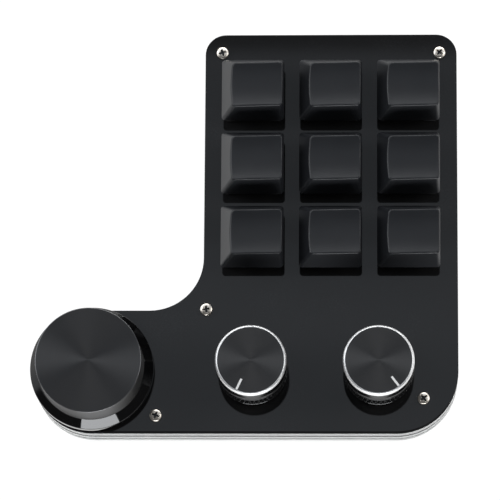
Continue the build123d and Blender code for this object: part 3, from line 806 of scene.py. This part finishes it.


# The head is a height over the disc: a dome less the deeper of two crossed arms, its deep faces marked for
# the painted shade in the recess
def screwGrid(turn):
    s = screwShape
    angle = np.linspace(0, 2 * math.pi, s["around"], endpoint=False)
    share = np.linspace(0, 1, s["rings"])[:, None] ** s["ringPower"]
    radius = share * (s["headRadius"] - s["crownInset"])
    x, y = radius * np.cos(angle[None] - turn), radius * np.sin(angle[None] - turn)

    def arm(along, across):
        width = s["armWidth"] * (1 - s["armTaper"] * np.abs(along) / s["armLength"])
        wall = np.clip((width - np.abs(across)) / s["armSide"] + 0.5, 0, 1)
        return wall * np.clip((s["armLength"] - np.abs(along)) / s["armEnd"], 0, 1)

    pit = s["recessDepth"] * np.maximum(arm(x, y), arm(y, x))
    crown = s["headHeight"] - s["dome"] * share ** s["domePower"] - pit
    top = np.stack([radius * np.cos(angle[None]), radius * np.sin(angle[None]), crown], -1)
    edge = s["headHeight"] - s["dome"]
    rim = [(s["headRadius"] - inset, edge - drop) for inset, drop in s["rimSteps"]]
    shank = [(s["headRadius"], 0.0), (s["shank"], 0.0), (s["shank"], s["tip"] - s["grip"]),
             (s["shank"] - s["tip"], -s["grip"]), (0.0, -s["grip"])]
    grid = np.concatenate([top, roundRings(rim + shank, angle)])
    shade = np.zeros((len(grid) - 1, s["around"]))
    shade[: s["rings"] - 1] = (pit[:-1] + pit[1:]) / 2 > s["recessDepth"] * s["shadedDepth"]
    return grid, shade


def makeScrews():
    sides = (("top_screws", plateTop, 1), ("base_screws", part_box("base_plate")[0].z, -1))
    for node, level, flip in sides:
        grids, shades = [], []
        for (x, y), turn in zip(screwShape["places"], screwShape["turns"]):
            grid, shade = screwGrid(turn)
            grids.append(grid * mm * np.array([1, 1, flip]) + np.array([x * mm, y * mm, level]))
            shades.append(shade)
        mesh = ringMesh(grids, shades)
        closeMesh(mesh)
        # The deep recess faces take the dark second finish: painted shade in the cross recess
        metals = [finishes["screwBright"], finishes["screwSteelAndRecessShade"]]
        name, sharp = node.replace("_s", "S"), screwShape["sharpBend"]
        finishPiece(name, mesh, metals, bodyOf[node], [node], sharp)
    print("screws made")


makeScrews()


# Pieces that keep the model's form: name, width of the broken edges, gap above and below, in mm
keptForms = {
    "top_plate": ("plateBlack", 0.0, 0.0),
    "upper_spacer": ("spacerUpper", 0.12, 0.02),
    "lower_spacer": ("spacerLower", 0.12, 0.02),
    "base_plate": ("floorClear", 0.12, 0.02),
    "feet": ("footPads", 0.0, 0.0),
    "usb_shell": ("socketShell", 0.0, 0.0),
    "usb_tongue": ("socketTongue", 0.05, 0.0),
    "switch_upper_housings": ("switchTops", 0.25, 0.0),
    "switch_lower_housings": ("switchBases", 0.2, 0.0),
    "encoder_covers": ("encoderCans", 0.12, 0.0),
    "standoffs": ("standoffSleeves", 0.0, 0.0),
    "circuit_board": ("boardPanel", 0.0, 0.0),
}

# Their sharp bend, and the segments and least bend of a broken edge, in degrees
keptCare = {"sharpBend": 30, "bevelSegments": 2, "bevelBend": 50}

# Painted shade round the clear layers: dark matt strips stand in for the shadow line where the layers meet.
# For each layer, the heights that bound its shaded strips
seamShadeStrips = {
    "upper_spacer": ((8.9, 10.2),),
    "lower_spacer": ((8.8, 9.1), (4.9, 5.4)),
    "base_plate": ((4.7, 5.1),),
}

# The cover: corner break in the model and as drawn, a point's reach of it, in mm, then the sharp bend
coverCare = {"broken": 0.2, "drawn": 0.015, "near": 0.01, "sharpBend": 3}

# The most that a normal rises on an upright side, and the least on a level face
facing = {"upright": 0.5, "level": 0.9}


# A vector of every vertex or face, as rows of three
def readRows(items, field):
    flat = np.empty(len(items) * 3, np.float32)
    items.foreach_get(field, flat)
    return flat.reshape(-1, 3)


# Cuts a copy along its strips' heights and marks the upright faces between them for the painted seam shade
def markSeamShade(mesh, strips):
    work = bmesh.new()
    work.from_mesh(mesh)
    for height in (h for strip in strips for h in strip):
        parts = [*work.verts, *work.edges, *work.faces]
        bmesh.ops.bisect_plane(work, geom=parts, plane_co=(0, 0, height * mm), plane_no=(0, 0, 1))
    work.to_mesh(mesh)
    work.free()
    height = readRows(mesh.polygons, "center")[:, 2] / mm
    inside = np.any([(height > low) & (height < high) for low, high in strips], axis=0)
    upright = np.abs(readRows(mesh.polygons, "normal")[:, 2]) < facing["upright"]
    mesh.polygons.foreach_set("material_index", (inside & upright).astype(np.int32))


# Draws the cover's broken corner close to its face, and marks its cut sides as matt
def markCover(mesh, top):
    points = readRows(mesh.vertices, "co")
    corner = np.abs(points[:, 2] - (top - coverCare["broken"] * mm)) < coverCare["near"] * mm
    points[:, 2] = np.where(corner, top - coverCare["drawn"] * mm, points[:, 2])
    mesh.vertices.foreach_set("co", points.ravel())
    mesh.update()
    cut = np.abs(readRows(mesh.polygons, "normal")[:, 2]) < facing["level"]
    mesh.polygons.foreach_set("material_index", cut.astype(np.int32))


# Thins a layer about its middle, so that a gap is left above and below it
def leaveGap(mesh, low, high, gap):
    points = readRows(mesh.vertices, "co")
    middle, thick = (low + high) / 2, high - low
    points[:, 2] = middle + (points[:, 2] - middle) * (1 - 2 * gap * mm / thick)
    mesh.vertices.foreach_set("co", points.ravel())


# Each one is a merged copy of its node, smooth over its curves
def makeKeptForms():
    for node, (name, bevel, gap) in keptForms.items():
        mesh = nodes[node].data.copy()
        mesh.materials.clear()
        mesh.attributes.remove(mesh.attributes["custom_normal"])
        closeMesh(mesh, True)
        low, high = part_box(node)
        slot, sharp = slotOf[node], keptCare["sharpBend"]
        materials = [finishes[slotFinish[slot]]]
        if gap:
            leaveGap(mesh, low.z, high.z, gap)
        if node == "top_plate":
            markCover(mesh, high.z)
            materials.append(finishes["plateEdge"])
            sharp = coverCare["sharpBend"]
        if node in seamShadeStrips:
            markSeamShade(mesh, seamShadeStrips[node])
            materials.append(finishes["seamShade"])
        piece = finishPiece(name, mesh, materials, bodyOf[node], [node], sharp)
        if bevel:
            edge = piece.modifiers.new("brokenEdge", "BEVEL")
            edge.width, edge.segments = bevel * mm, keptCare["bevelSegments"]
            edge.limit_method, edge.angle_limit = "ANGLE", math.radians(keptCare["bevelBend"])
            edge.use_clamp_overlap = True
    print("kept forms dressed:", len(keptForms))


makeKeptForms()


# Studio: a white sheet under the pad, a long soft box overhead, others low in front, behind and to the sides.
# Each lamp has its place, aim, width, height, glow and share of the cool tint.
studio = {
    "floorSize": 6.0, "floorTone": 0.9, "floorDrop": 0.0002, "whiteShare": 0.88, "whiteGlow": 1.1,
    "sheetInner": 0.22, "sheetOuter": 0.42, "surround": 0.05,
    "lamps": {
        "overhead": ((0.0, 0.185, 1.0), (0.0, 0.185, 0.0), 1.4, 0.28, 0.46, 1.0),
        "overheadNear": ((0.0, 0.09, 1.002), (0.0, 0.09, 0.0), 1.4, 0.24, 0.12, 1.0),
        "front": ((0.06, -0.93, 0.19), (-0.02, -0.05, 0.02), 0.72, 0.32, 9.0, 0.3),
        "behindHigh": ((0.0, 0.75, 0.82), (0.0, 0.0, 0.02), 1.6, 0.36, 0.8, 1.0),
        "behindLow": ((0.0, 1.05, 0.56), (0.0, 0.0, 0.02), 1.8, 0.26, 6.4, 0.0),
        "rightSide": ((0.85, 0.1, 0.68), (0.0, 0.0, 0.02), 0.6, 0.5, 3.0, 0.0),
        "leftSide": ((-0.9, 0.3, 0.6), (0.0, 0.0, 0.02), 0.7, 0.6, 3.2, 0.4),
    },
    "coolTint": (0.84, 0.91, 1.0), "sparing": ("front", "behindLow"),
}


# Paper that shows white to the camera with a faint shadow, and to reflections only near the pad
def makeFloor():
    half, level = studio["floorSize"], -studio["floorDrop"]
    corners = [(-half, -half, level), (half, -half, level), (half, half, level), (-half, half, level)]
    mesh = bpy.data.meshes.new("floor")
    mesh.from_pydata(corners, [], [(0, 1, 2, 3)])
    material = bpy.data.materials.new("floorPaper")
    material.use_nodes = True
    tree = material.node_tree
    tree.nodes.clear()
    out = tree.nodes.new("ShaderNodeOutputMaterial")
    paper = tree.nodes.new("ShaderNodeBsdfDiffuse")
    paper.inputs["Color"].default_value = (studio["floorTone"],) * 3 + (1,)
    white = tree.nodes.new("ShaderNodeEmission")
    white.inputs["Strength"].default_value = studio["whiteGlow"]
    path = tree.nodes.new("ShaderNodeLightPath")
    reach = tree.nodes.new("ShaderNodeVectorMath")
    reach.operation = "LENGTH"
    tree.links.new(objectPlace(tree), reach.inputs[0])
    near = tree.nodes.new("ShaderNodeMapRange")
    near.inputs["From Min"].default_value = studio["sheetOuter"]
    near.inputs["From Max"].default_value = studio["sheetInner"]
    tree.links.new(reach.outputs["Value"], near.inputs["Value"])
    mirrored = mathNode(tree, "MULTIPLY", path.outputs["Is Glossy Ray"], near.outputs["Result"])
    direct = mathNode(tree, "MAXIMUM", path.outputs["Is Camera Ray"], path.outputs["Is Transmission Ray"])
    seen = mathNode(tree, "MAXIMUM", direct, mirrored)
    mix = tree.nodes.new("ShaderNodeMixShader")
    tree.links.new(mathNode(tree, "MULTIPLY", seen, studio["whiteShare"]), mix.inputs["Fac"])
    tree.links.new(paper.outputs[0], mix.inputs[1])
    tree.links.new(white.outputs[0], mix.inputs[2])
    tree.links.new(mix.outputs[0], out.inputs["Surface"])
    mesh.materials.append(material)
    floor = bpy.data.objects.new("floor", mesh)
    bpy.context.scene.collection.objects.link(floor)


# The low lamps spare the cover: from the far side its gloss would show each of them as a white sheet
def makeLamps():
    cover = bpy.data.collections.new("sparedCover")
    cover.objects.link(bpy.data.objects[keptForms["top_plate"][0]])
    cover.collection_objects[0].light_linking.link_state = "EXCLUDE"
    for name, (place, aim, width, height, glow, cool) in studio["lamps"].items():
        lamp = bpy.data.lights.new(name, "AREA")
        lamp.shape, lamp.size, lamp.size_y = "RECTANGLE", width, height
        lamp.energy = glow * math.pi * width * height
        lamp.color = [1 + cool * (c - 1) for c in studio["coolTint"]]
        holder = bpy.data.objects.new(name, lamp)
        holder.location = place
        toward = Vector(aim) - Vector(place)
        holder.rotation_euler = toward.to_track_quat("-Z", "Y").to_euler()
        holder.visible_camera = False
        if name in studio["sparing"]:
            holder.light_linking.receiver_collection = cover
        bpy.context.scene.collection.objects.link(holder)


# White to the camera, a faint glow to everything else
def makeSurround():
    world = bpy.data.worlds.new("softSurround")
    world.use_nodes = True
    tree = world.node_tree
    path = tree.nodes.new("ShaderNodeLightPath")
    level = tree.nodes.new("ShaderNodeMapRange")
    level.inputs["To Min"].default_value = studio["surround"]
    level.inputs["To Max"].default_value = 1.0
    tree.links.new(path.outputs["Is Camera Ray"], level.inputs["Value"])
    tree.links.new(level.outputs["Result"], tree.nodes["Background"].inputs["Strength"])
    tree.nodes["Background"].inputs["Color"].default_value = (1, 1, 1, 1)
    bpy.context.scene.world = world


makeFloor()
makeLamps()
makeSurround()
print("studio lit")
